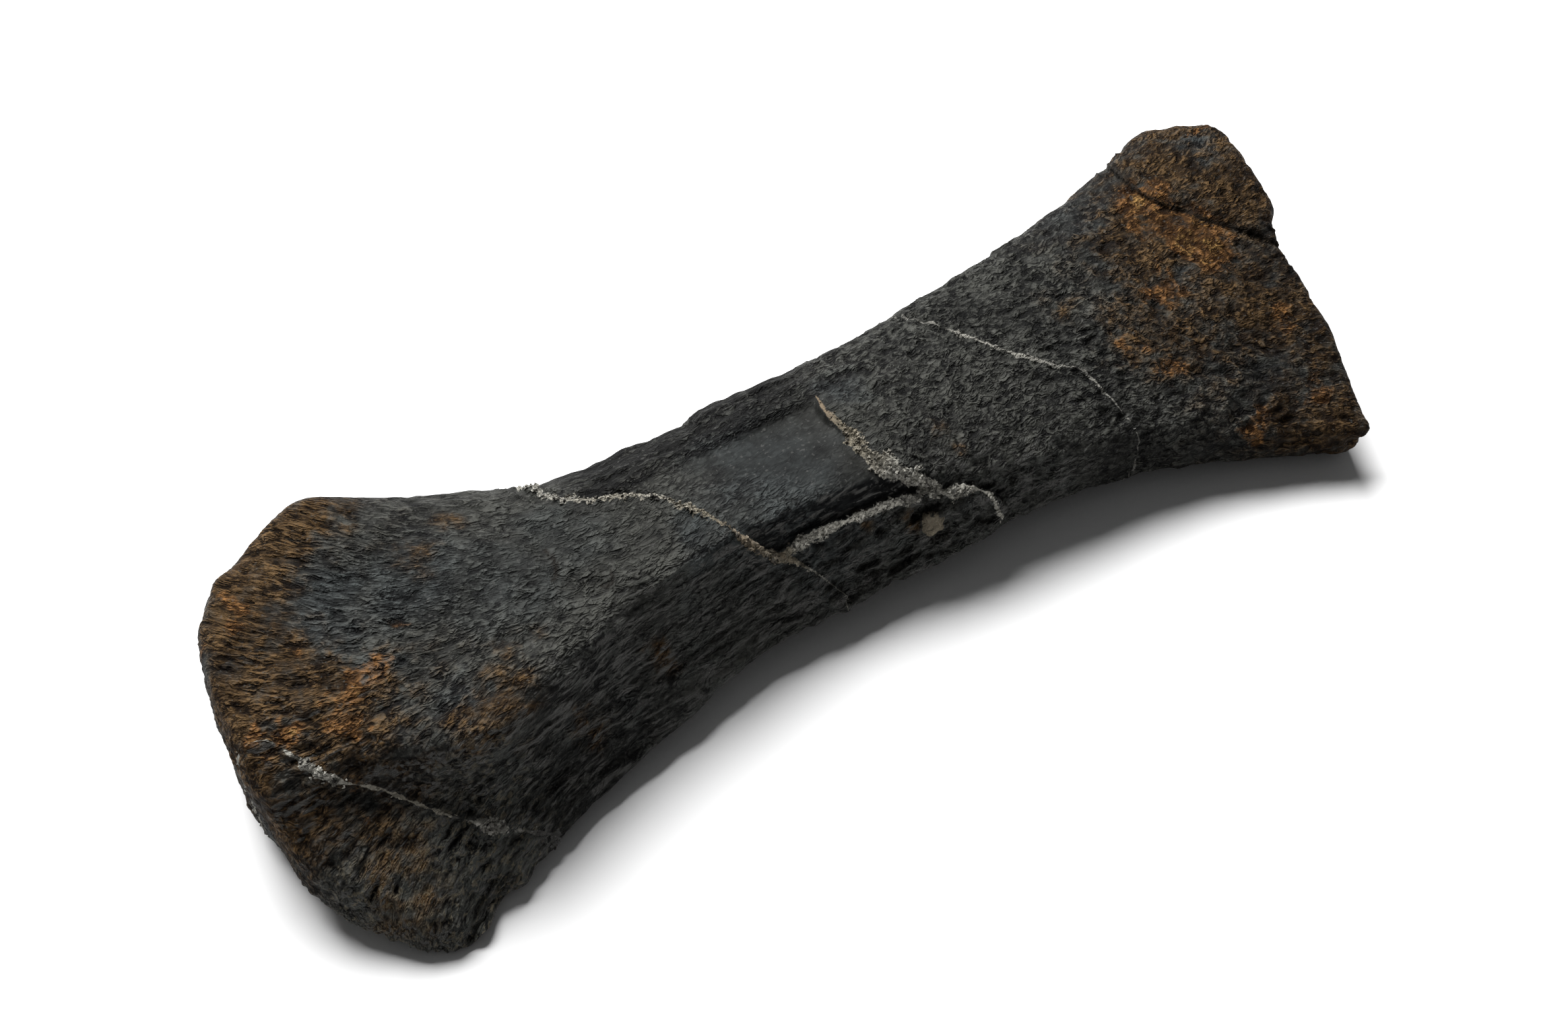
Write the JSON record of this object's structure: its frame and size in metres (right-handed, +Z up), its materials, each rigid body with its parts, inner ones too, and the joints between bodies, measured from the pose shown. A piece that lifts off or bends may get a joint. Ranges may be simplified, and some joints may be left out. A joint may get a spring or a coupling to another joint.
{
  "type": "fossil hand bone",
  "caption": "Fossil metacarpal from a large plant-eating dinosaur: a stout black bone, flared at both ends, with old healed breaks and a stony knob on its flank.",
  "frame": {"origin": "bottom centre of the bone's bounding box, on the surface it rests on", "axes": "+X along the bone from its wide near end to its thin slanted far end, +Y to its back edge, +Z up from the palm side to the plate of its dorsal side"},
  "size_m": [0.2016, 0.072, 0.0275],
  "materials": {
    "hand_bone": "dull, slightly waxy, with rough spongy ends"
  },
  "bodies": {
    "root": {"hand_bone": "hand_bone"}
  },
  "joints": []
}
